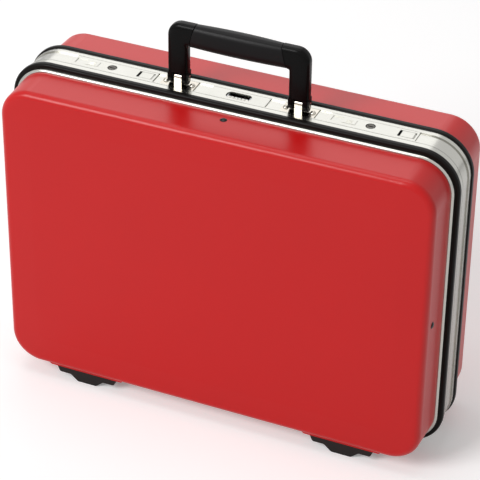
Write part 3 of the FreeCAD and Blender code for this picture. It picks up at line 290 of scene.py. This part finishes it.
# Nickel plate on pressed brackets: bright and a little warm, with crisp reflections
NICKEL = Finish(
    "bright_nickel_plate",
    "#BDB8AE",
    "#B0ABA1",
    metallic=1.0,
    roughness=0.16,
    rough_spread=0.05,
    grain_mm=(1.6, 1.6, 1.6),
    cloud_mm=12.0,
    bump_mm=0.006,
)
# Key plug: dark, with a dull metal shine; its dark colour is painted shade that stands in for the
# shaded keyway and the ring round it
DARK_NICKEL = Finish(
    "shade_darkened_nickel_plug",
    "#5B5853",
    "#4C4945",
    metallic=1.0,
    roughness=0.3,
    rough_spread=0.06,
    grain_mm=(1.0, 1.0, 1.0),
    cloud_mm=6.0,
    bump_mm=0.008,
)
# Zinc-plated sheet inside the locks and hinges: grey, with a dull streaky shine
ZINC_STEEL = Finish(
    "zinc_plated_steel",
    "#A9AAAC",
    "#97989B",
    metallic=1.0,
    roughness=0.38,
    rough_spread=0.08,
    grain_mm=(6.0, 1.2, 6.0),
    cloud_mm=18.0,
    bump_mm=0.01,
)
# Blackened rivet head: near black, with a small bright spot where the dome faces a lamp
BLACK_RIVET = Finish(
    "blackened_steel_rivet",
    "#151313",
    "#0E0D0D",
    roughness=0.16,
    rough_spread=0.04,
    specular=0.3,
    grain_mm=(1.0, 1.0, 1.0),
    bump_mm=0.01,
)
# Foam rubber seal: black and dull, with fine open pores
SEAL_RUBBER = Finish(
    "black_foam_rubber",
    "#121212",
    "#1A1A1A",
    roughness=0.75,
    rough_spread=0.08,
    grain_mm=(0.9, 0.9, 0.9),
    bump_mm=0.08,
)
# Number wheel, turned from white metal: pale, with fine rings round it
WHEEL_METAL = Finish(
    "turned_white_metal",
    "#C8C6C1",
    "#B7B5B0",
    metallic=1.0,
    roughness=0.32,
    rough_spread=0.06,
    grain_mm=(0.8, 8.0, 8.0),
    cloud_mm=10.0,
    bump_mm=0.01,
)
# Number printed on a wheel: matt black enamel, which shows no highlight
NUMBER_PAINT = Finish(
    "matt_black_enamel",
    "#100F0F",
    "#181716",
    roughness=0.5,
    rough_spread=0.08,
    specular=0.3,
    grain_mm=(0.3, 0.3, 0.3),
    cloud_mm=2.0,
    bump_mm=0.005,
)


@dataclass(frozen=True)
class Camera:
    """The photograph's camera, fitted to the frame's outlines; angles in degrees."""

    place_mm: tuple[float, float, float] = (758.37, -1790.88, 1492.04)
    azimuth: float = 22.86
    elevation: float = 33.78
    roll: float = 0.79
    focal_px: float = 2230.49
    image_px: int = 480
    sensor_mm: float = 36.0
    clip_end_m: float = 100.0

    def build(self) -> bpy.types.Object:
        """Makes the camera and makes it the scene's own.

        Returns:
            The camera object.
        """
        data = bpy.data.cameras.new("photo_camera")
        data.sensor_width = self.sensor_mm
        data.lens = self.focal_px / self.image_px * self.sensor_mm
        data.clip_end = self.clip_end_m
        camera = bpy.data.objects.new("photo_camera", data)
        bpy.context.scene.collection.objects.link(camera)
        turn, rise, roll = (math.radians(v) for v in (self.azimuth, self.elevation, self.roll))
        back = Vector(
            (
                math.sin(turn) * math.cos(rise),
                -math.cos(turn) * math.cos(rise),
                math.sin(rise),
            )
        )
        right = Vector((math.cos(turn), math.sin(turn), 0.0))
        up = back.cross(right)
        tilted_right = right * math.cos(roll) + up * math.sin(roll)
        tilted_up = up * math.cos(roll) - right * math.sin(roll)
        rotation = Matrix((tilted_right, tilted_up, back)).transposed().to_4x4()
        place = Matrix.Translation(Vector(self.place_mm) * MM)
        camera.matrix_world = place @ rotation
        bpy.context.scene.camera = camera
        return camera


@dataclass(frozen=True)
class Lamp:
    """A square soft lamp: place, the point it faces and its side in metres, power in watts."""

    name: str
    place: tuple[float, float, float]
    aim: tuple[float, float, float]
    size: float
    power: float

    def build(self) -> None:
        """Makes the lamp and turns it to the point it faces."""
        data = bpy.data.lights.new(self.name, "AREA")
        data.shape = "SQUARE"
        data.size = self.size
        data.energy = self.power
        lamp = bpy.data.objects.new(self.name, data)
        bpy.context.scene.collection.objects.link(lamp)
        lamp.location = self.place
        lamp.rotation_mode = "QUATERNION"
        way = Vector(self.aim) - Vector(self.place)
        lamp.rotation_quaternion = way.to_track_quat("-Z", "Y")


@dataclass
class Studio:
    """White floor, white surround and three soft lamps."""

    floor_m: float = 30.0
    paper: tuple[float, float] = (0.93, 0.96)
    mottle_per_m: float = 3.0
    ambient: float = 0.3
    floor_glow: float = 0.22
    lamps: tuple[Lamp, ...] = (
        Lamp("key", (-1.6, -2.6, 2.3), (0.0, 0.0, 0.2), 1.6, 75.0),
        Lamp("back_box", (-0.8, 2.0, 1.8), (0.0, 0.0, 0.35), 1.8, 10.0),
        Lamp("overhead", (-0.3, 0.0, 2.6), (0.0, 0.0, 0.3), 1.5, 14.0),
    )

    def build(self) -> None:
        """Makes the floor, the surround and the lamps."""
        self.build_world()
        self.build_floor()
        for lamp in self.lamps:
            lamp.build()

    def build_world(self) -> None:
        """Dim white light all round, seen as white by the camera and in reflections."""
        world = bpy.data.worlds.new("white_surround")
        world.use_nodes = True
        tree = world.node_tree
        tree.nodes.clear()
        strength = add_node(
            tree,
            "ShaderNodeMapRange",
            inputs={"Value": self.seen(tree), "To Min": self.ambient, "To Max": 1.0},
        ).outputs["Result"]
        light = add_node(
            tree,
            "ShaderNodeBackground",
            inputs={"Color": (1.0, 1.0, 1.0, 1.0), "Strength": strength},
        ).outputs[0]
        add_node(tree, "ShaderNodeOutputWorld", inputs={"Surface": light})
        bpy.context.scene.world = world

    def seen(self, tree: bpy.types.NodeTree) -> bpy.types.NodeSocket:
        """One for a ray that shows the surround: from the camera, a reflection or glass.

        Args:
            tree: Node tree that takes the nodes.

        Returns:
            The socket that gives 1 or 0.
        """
        path = add_node(tree, "ShaderNodeLightPath").outputs
        total = path["Is Camera Ray"]
        for name in ("Is Transmission Ray", "Is Glossy Ray"):
            total = add_node(
                tree,
                "ShaderNodeMath",
                settings={"operation": "ADD", "use_clamp": True},
                inputs={0: total, 1: path[name]},
            ).outputs[0]
        return total

    def build_floor(self) -> None:
        """Level white floor at the feet, with a little glow for what looks at it."""
        half = self.floor_m / 2
        mesh = bpy.data.meshes.new("floor")
        corners = [(-half, -half, 0), (half, -half, 0), (half, half, 0), (-half, half, 0)]
        mesh.from_pydata(corners, [], [(0, 1, 2, 3)])
        floor = bpy.data.objects.new("floor", mesh)
        bpy.context.scene.collection.objects.link(floor)
        material = bpy.data.materials.new("white_paper")
        material.use_nodes = True
        tree = material.node_tree
        tree.nodes.clear()
        place = add_node(tree, "ShaderNodeTexCoord").outputs["Object"]
        mottle = add_node(
            tree,
            "ShaderNodeTexNoise",
            inputs={"Vector": place, "Scale": self.mottle_per_m, "Detail": 2.0},
        ).outputs["Fac"]
        tone = add_node(
            tree,
            "ShaderNodeMapRange",
            inputs={"Value": mottle, "To Min": self.paper[0], "To Max": self.paper[1]},
        ).outputs["Result"]
        matt = add_node(
            tree, "ShaderNodeBsdfDiffuse", inputs={"Color": tone, "Roughness": 0.5}
        ).outputs[0]
        strength = add_node(
            tree,
            "ShaderNodeMapRange",
            inputs={"Value": self.seen(tree), "To Min": 0.0, "To Max": self.floor_glow},
        ).outputs["Result"]
        glow = add_node(tree, "ShaderNodeEmission", inputs={"Strength": strength}).outputs[0]
        both = add_node(tree, "ShaderNodeAddShader", inputs={0: matt, 1: glow}).outputs[0]
        add_node(tree, "ShaderNodeOutputMaterial", inputs={"Surface": both})
        mesh.materials.append(material)


def tube(rings: np.ndarray) -> Skin:
    """Closed skin over a stack of rings, with a flat cap on both ends.

    Ring i, point j is vertex i * n + j, so a face joins (i, j), (i, j + 1), (i + 1, j + 1)
    and (i + 1, j), with j taken round the ring.

    Args:
        rings: Points in millimetres, shaped (rings, points in a ring, 3).

    Returns:
        The vertices and the faces, facing outward.
    """
    count, around = rings.shape[:2]
    first = np.arange(count - 1)[:, None] * around + np.arange(around)
    after = np.arange(count - 1)[:, None] * around + np.roll(np.arange(around), -1)
    quads = np.stack([first, after, after + around, first + around], axis=-1).reshape(-1, 4)
    points = rings.reshape(-1, 3)
    a, b, c = (points[quads[:, k]] for k in (0, 1, 2))
    middle = points.mean(axis=0)
    turned_out = float(np.sum(np.cross(b - a, c - a) * (a - middle))) > 0.0
    caps = [np.arange(around)[::-1], np.arange(around) + (count - 1) * around]
    if not turned_out:
        quads = quads[:, ::-1]
        caps = [cap[::-1] for cap in caps]
    return points, quads.tolist() + [cap.tolist() for cap in caps]


def squircle(angles: np.ndarray, power: float) -> tuple[np.ndarray, np.ndarray]:
    """Superellipse |a|^power + |b|^power = 1 at these angles.

    Args:
        angles: Angles round the curve.
        power: 2 for a circle; larger is squarer.

    Returns:
        The two coordinates of each point.
    """
    cosine, sine = np.cos(angles), np.sin(angles)
    spread = (np.abs(cosine) ** power + np.abs(sine) ** power) ** (-1.0 / power)
    return cosine * spread, sine * spread


def add_piece(
    name: str,
    skins: Sequence[Skin],
    body: str,
    material: bpy.types.Material,
    crease: float = 40.0,
) -> bpy.types.Object:
    """Makes one object of several closed skins and hangs it on a body.

    Args:
        name: Name of the object.
        skins: Vertices in millimetres and faces of each skin.
        body: CAD body that the piece moves with.
        material: Its material.
        crease: Angle in degrees from which an edge stays sharp.

    Returns:
        The object.
    """
    points: list[np.ndarray] = []
    faces: list[list[int]] = []
    start = 0
    for skin_points, skin_faces in skins:
        points.append(skin_points)
        faces += [[index + start for index in face] for face in skin_faces]
        start += len(skin_points)
    mesh = bpy.data.meshes.new(name)
    mesh.from_pydata((np.vstack(points) * MM).tolist(), [], faces)
    mesh.polygons.foreach_set("use_smooth", np.ones(len(faces), dtype=bool))
    mesh.set_sharp_from_angle(angle=math.radians(crease))
    mesh.materials.append(material)
    piece = bpy.data.objects.new(name, mesh)
    bpy.context.scene.collection.objects.link(piece)
    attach(piece, body)
    log.info("%s: %d faces", name, len(faces))
    return piece


class Finishes:
    """Builds each finish once and gives it to the nodes."""

    def __init__(self) -> None:
        """Starts with no finish built."""
        self.made: dict[str, bpy.types.Material] = {}

    def get(self, finish: Finish) -> bpy.types.Material:
        """Material of a finish, built on its first use."""
        if finish.name not in self.made:
            self.made[finish.name] = finish.build()
        return self.made[finish.name]

    def dress(self, finish: Finish, nodes: Iterable[str]) -> None:
        """Gives CAD nodes a finish.

        Args:
            finish: The finish.
            nodes: Names of the nodes.
        """
        for name in nodes:
            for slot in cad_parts[name].material_slots:
                slot.material = self.get(finish)
            log.info("%s: %s", name, finish.name)


def node_names(*starts: str) -> list[str]:
    """Names of the CAD nodes that begin with any of these words."""
    return [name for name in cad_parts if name.startswith(starts)]


@dataclass
class Shells:
    """Lid and base of the case, moulded with bosses for the feet, and the lid's two rivets."""

    shells: tuple[str, ...] = ("lid_shell", "base_shell")
    rivets: tuple[str, ...] = ("lid_rivets",)

    def build(self, finishes: Finishes) -> None:
        """Dresses the shells red and their rivets black."""
        finishes.dress(RED_ABS, self.shells)
        finishes.dress(BLACK_RIVET, self.rivets)


@dataclass
class FrameRings:
    """The two bent extrusions, the beads beside them and the seal between them."""

    rings: tuple[str, ...] = ("lid_frame", "base_frame")
    beads: tuple[str, ...] = ("lid_bead", "base_bead")
    seal: tuple[str, ...] = ("lid_seal",)

    def build(self, finishes: Finishes) -> None:
        """Dresses the metal, the beads and the seal."""
        finishes.dress(DRAWN_ALUMINIUM, self.rings)
        finishes.dress(BLACK_PVC, self.beads)
        finishes.dress(SEAL_RUBBER, self.seal)


@dataclass
class Feet:
    """Stepped feet under the lid and the base."""

    feet: tuple[str, ...] = ("lid_feet", "base_feet")

    def build(self, finishes: Finishes) -> None:
        """Dresses the feet."""
        finishes.dress(FOOT_PLASTIC, self.feet)


@dataclass
class Locks:
    """The two flush locks: cover, button, flap and key in view, the latch work below."""

    plates: tuple[str, ...] = ("lock_cover", "slide_button", "release_flap")
    plugs: tuple[str, ...] = ("key_cylinder",)
    inner: tuple[str, ...] = ("lock_case", "lock_bolt", "striker", "flap_pin")

    def build(self, finishes: Finishes) -> None:
        """Dresses the plates brushed, the key plugs in a dark grey that is painted shade, and the
        latch work in zinc.
        """
        finishes.dress(BRUSHED_ALUMINIUM, node_names(*self.plates))
        finishes.dress(DARK_NICKEL, node_names(*self.plugs))
        finishes.dress(ZINC_STEEL, node_names(*self.inner))


@dataclass
class Brackets:
    """Plates with a bent strap, pins and rivets that hold the handle."""

    parts: tuple[str, ...] = ("handle_bracket", "handle_pin", "bracket_rivets")

    def build(self, finishes: Finishes) -> None:
        """Dresses the brackets in nickel."""
        finishes.dress(NICKEL, node_names(*self.parts))


@dataclass
class Hinges:
    """Leaves, pins and rivets under the case."""

    parts: tuple[str, ...] = ("hinge_",)

    def build(self, finishes: Finishes) -> None:
        """Dresses the hinges in zinc."""
        finishes.dress(ZINC_STEEL, node_names(*self.parts))


@dataclass
class Dials:
    """Three number wheels behind the dial plate's window, with painted numbers, in mm."""

    axis_y: float = -2.85
    axis_z: float = 360.2
    radius: float = 4.2
    pitch: float = 7.75
    positions: int = 10
    number_height: float = 2.1
    number_stretch: float = 1.5
    paint: float = 0.05
    strip: float = 0.3
    crease: float = 25.0

    def build(self, finishes: Finishes) -> list[bpy.types.Object]:
        """Dresses the dials and paints the numbers.

        Args:
            finishes: Source of the materials.

        Returns:
            The painted numbers of each wheel.
        """
        finishes.dress(BRUSHED_ALUMINIUM, ["dial_plate"])
        finishes.dress(WHEEL_METAL, [f"dial_{wheel.label}" for wheel in Wheel])
        finishes.dress(ZINC_STEEL, ["dial_cage", "dial_axle"])
        flat = [self.flat_number(place) for place in range(self.positions)]
        return [self.paint_wheel(wheel, flat, finishes) for wheel in Wheel]

    def flat_number(self, value: int) -> Skin:
        """Thin slab in the shape of a number, cut across into strips that can be bent.

        Args:
            value: The number.

        Returns:
            Vertices in millimetres about the number's middle, and faces.
        """
        curve = bpy.data.curves.new("number", "FONT")
        curve.body = str(value)
        curve.resolution_u = 3
        # Any thickness will do; the paint's own is set below
        curve.extrude = 0.01
        holder = bpy.data.objects.new("number", curve)
        mesh = bpy.data.meshes.new_from_object(holder)
        bpy.data.objects.remove(holder)
        bpy.data.curves.remove(curve)
        slab = bmesh.new()
        slab.from_mesh(mesh)
        bpy.data.meshes.remove(mesh)
        points = np.array([vertex.co for vertex in slab.verts])
        low, high = points.min(axis=0), points.max(axis=0)
        scale = self.number_height / (high[1] - low[1])
        for height in np.arange(low[1], high[1], self.strip / scale)[1:]:
            bmesh.ops.bisect_plane(
                slab,
                geom=slab.verts[:] + slab.edges[:] + slab.faces[:],
                plane_co=(0.0, float(height), 0.0),
                plane_no=(0.0, 1.0, 0.0),
            )
        bmesh.ops.remove_doubles(slab, verts=slab.verts[:], dist=1e-5)
        slab.verts.index_update()
        points = np.array([vertex.co for vertex in slab.verts])
        faces = [[vertex.index for vertex in face.verts] for face in slab.faces]
        slab.free()
        middle = (low + high) / 2.0
        spread = np.array([scale * self.number_stretch, scale, 0.0])
        flat = (points - middle) * spread
        flat[:, 2] = np.sign(points[:, 2]) * self.paint / 2.0
        return flat, faces

    def paint_wheel(
        self,
        wheel: Wheel,
        flat: Sequence[Skin],
        finishes: Finishes,
    ) -> bpy.types.Object:
        """Bends the numbers round one wheel.

        A point at height v of a flat number, t above its middle plane, goes to the angle
        v / radius past its number's place and to the distance radius + t from the axle.

        Args:
            wheel: The wheel.
            flat: The flat numbers in order.
            finishes: Source of the material.

        Returns:
            The painted numbers as one piece.
        """
        skins = []
        for place, (points, faces) in enumerate(flat):
            turn = points[:, 1] / self.radius + 2.0 * math.pi * place / self.positions
            reach = self.radius + points[:, 2]
            bent = np.stack(
                [
                    points[:, 0] + wheel.value * self.pitch,
                    self.axis_y + reach * np.sin(turn),
                    self.axis_z + reach * np.cos(turn),
                ],
                axis=-1,
            )
            skins.append((bent, faces))
        body = f"dial_{wheel.label}"
        material = finishes.get(NUMBER_PAINT)
        piece = add_piece(f"numbers_{wheel.label}", skins, body, material, self.crease)
        return piece


@dataclass
class Handle:
    """Black handle: a bow of two arms and the hand grip between their corners, in mm."""

    pivot_z: float = 373.0
    centre_y: float = -0.15
    outer_x: float = 76.5
    arm_width: float = 21.5
    half_thick: float = 7.0
    top_z: float = 435.6
    under_z: float = 410.6
    outer_round: float = 14.0
    inner_round: float = 1.8
    notch_half: float = 4.7
    notch_top: float = 380.0
    grip_top_half: float = 47.2
    grip_under_half: float = 53.5
    grip_half_thick: float = 9.0
    grip_end_thick: float = 7.35
    grip_crown: float = 0.9
    grip_belly: float = 0.8
    grip_edge: float = 0.9
    seam: float = 0.3
    grip_power: float = 2.7
    bow_power: float = 3.6
    ear_power: float = 6.0
    around: int = 72
    grip_steps: int = 49
    edge_steps: int = 6
    straight_steps: int = 8
    turn_steps: int = 25
    top_steps: int = 6
    late_steps: int = 14
    ear_sweep: float = 86.0
    ear_steps: int = 15
    shank_steps: int = 3

    def build(self, finishes: Finishes) -> list[bpy.types.Object]:
        """Builds the bow and the grip.

        Args:
            finishes: Source of the materials.

        Returns:
            The two pieces.
        """
        skins = [skin for side in Side for skin in self.arm_skins(side.value)]
        bow = add_piece("bow", skins, "handle", finishes.get(BOW_NYLON))
        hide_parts("handle_bow")
        grip = add_piece("grip", [tube(self.grip_rings())], "handle", finishes.get(GRIP_PVC))
        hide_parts("handle_grip")
        return [bow, grip]

    def seam_x(self, z: np.ndarray) -> np.ndarray:
        """Half length of the grip at a height: longer towards the underside."""
        rise = (z - self.under_z) / (self.top_z - self.under_z)
        return self.grip_under_half + (self.grip_top_half - self.grip_under_half) * rise

    def grip_rings(self) -> np.ndarray:
        """Rings of the grip.

        Along u from -1 to 1 the section is a superellipse; its half thickness swells by a
        parabola 1 - u^2, as do the crown above and the belly below. A point at height z lies at
        x = u * (half length at z), so that the ends slant, and the last millimetre is rounded in.

        Returns:
            Points shaped (rings, points in a ring, 3).
        """
        end = np.linspace(0.0, 1.0, self.edge_steps + 1)[:-1]
        plain = 1.0 - self.grip_edge / self.grip_top_half
        inner = np.linspace(-plain, plain, self.grip_steps)
        near = -1.0 + end * self.grip_edge / self.grip_top_half
        u = np.concatenate([near, inner, -near[::-1]])
        left = np.clip((1.0 - np.abs(u)) * self.grip_top_half / self.grip_edge, 0.0, 1.0)
        inset = self.grip_edge * (1.0 - np.sqrt(1.0 - (1.0 - left) ** 2))
        swell = 1.0 - u**2
        half_y = self.grip_end_thick + (self.grip_half_thick - self.grip_end_thick) * swell - inset
        high = self.top_z + self.grip_crown * swell - inset
        low = self.under_z - self.grip_belly * swell + inset
        angles = np.linspace(0.0, 2.0 * math.pi, self.around, endpoint=False)
        wide, tall = squircle(angles, self.grip_power)
        y = self.centre_y + half_y[:, None] * wide
        z = (high + low)[:, None] / 2.0 + (high - low)[:, None] / 2.0 * tall
        x = u[:, None] * (self.seam_x(z) - self.seam)
        return np.stack([x, y, z], axis=-1)

    def arm_skins(self, side: int) -> list[Skin]:
        """Skins of one arm with its corner, and of the two ears at its foot.

        Args:
            side: -1 for the left arm, 1 for the right.

        Returns:
            Three closed skins.
        """
        inner_x = self.outer_x - self.arm_width
        arm = inner_x + self.arm_width / 2.0
        skins = [tube(self.corner_rings(side))]
        for low_x, high_x in (
            (inner_x, arm - self.notch_half),
            (arm + self.notch_half, self.outer_x),
        ):
            skins.append(tube(self.ear_rings(side, low_x, high_x)))
        return skins

    def corner_rings(self, side: int) -> np.ndarray:
        """Rings of an arm from the notch up, round the corner and in to the grip's seam.

        An outer and an inner line are walked together, the inner one turning its corner later;
        each ring is a superellipse between the two points, as thick as the bow.

        Args:
            side: -1 for the left arm, 1 for the right.

        Returns:
            Points shaped (rings, points in a ring, 3).
        """
        inner_x = self.outer_x - self.arm_width
        turn = np.linspace(0.0, math.pi / 2.0, self.turn_steps)
        shoulder = self.top_z - self.outer_round
        straight = np.linspace(self.notch_top, shoulder, self.straight_steps + 1)[:-1]
        inset = self.outer_x - self.outer_round
        across = np.linspace(inset, self.grip_top_half, self.top_steps + 1)[1:]
        outer_x = np.concatenate(
            [
                np.full(len(straight), self.outer_x),
                self.outer_x - self.outer_round * (1.0 - np.cos(turn)),
                across,
            ]
        )
        outer_z = np.concatenate(
            [
                straight,
                self.top_z - self.outer_round * (1.0 - np.sin(turn)),
                np.full(len(across), self.top_z),
            ]
        )
        foot = self.under_z - self.inner_round
        up = len(straight) + self.late_steps
        rest = len(outer_x) - up
        rise = np.concatenate([np.linspace(self.notch_top, foot, up), np.full(rest, foot)])
        bend = np.concatenate([np.zeros(up), np.linspace(0.0, 1.0, rest)])
        last = self.seam_x(np.array(self.under_z))
        in_x = inner_x + (last - inner_x) * (1.0 - np.cos(bend * math.pi / 2.0))
        in_z = rise + self.inner_round * np.sin(bend * math.pi / 2.0)
        middle = np.stack([(outer_x + in_x) / 2.0, (outer_z + in_z) / 2.0], axis=-1)
        reach = np.stack([(outer_x - in_x) / 2.0, (outer_z - in_z) / 2.0], axis=-1)
        angles = np.linspace(0.0, 2.0 * math.pi, self.around, endpoint=False)
        wide, thick = squircle(angles, self.bow_power)
        flat = middle[:, None, :] + reach[:, None, :] * wide[None, :, None]
        y = np.broadcast_to(self.centre_y + self.half_thick * thick, flat.shape[:2])
        return np.stack([side * flat[..., 0], y, flat[..., 1]], axis=-1)

    def ear_rings(self, side: int, low_x: float, high_x: float) -> np.ndarray:
        """Rings of one ear, whose foot is rounded about the pivot.

        Below the pivot the half thickness is sqrt(r^2 - (drop below the pivot)^2).

        Args:
            side: -1 for the left arm, 1 for the right.
            low_x: Nearer side of the ear.
            high_x: Farther side of the ear.

        Returns:
            Points shaped (rings, points in a ring, 3).
        """
        radius = self.half_thick
        sweep = np.linspace(math.radians(self.ear_sweep), 0.0, self.ear_steps)
        shank = np.linspace(self.pivot_z, self.notch_top, self.shank_steps + 1)[1:]
        z = np.concatenate([self.pivot_z - radius * np.sin(sweep), shank])
        half_y = np.concatenate([radius * np.cos(sweep), np.full(len(shank), radius)])
        angles = np.linspace(0.0, 2.0 * math.pi, self.around, endpoint=False)
        wide, thick = squircle(angles, self.ear_power)
        x = (low_x + high_x) / 2.0 + (high_x - low_x) / 2.0 * wide
        shape = (len(z), self.around)
        return np.stack(
            [
                np.broadcast_to(side * x, shape),
                self.centre_y + half_y[:, None] * thick,
                np.broadcast_to(z[:, None], shape),
            ],
            axis=-1,
        )


def main() -> None:
    """Builds the camera, the studio and every sub-assembly in order."""
    logging.basicConfig(level=logging.INFO, format="%(name)s: %(message)s")
    scene = bpy.context.scene
    scene.view_settings.view_transform = "Standard"
    Camera().build()
    Studio().build()
    finishes = Finishes()
    for part in (Shells(), FrameRings(), Feet(), Locks(), Dials(), Brackets(), Handle(), Hinges()):
        part.build(finishes)


if __name__ == "__main__":
    main()
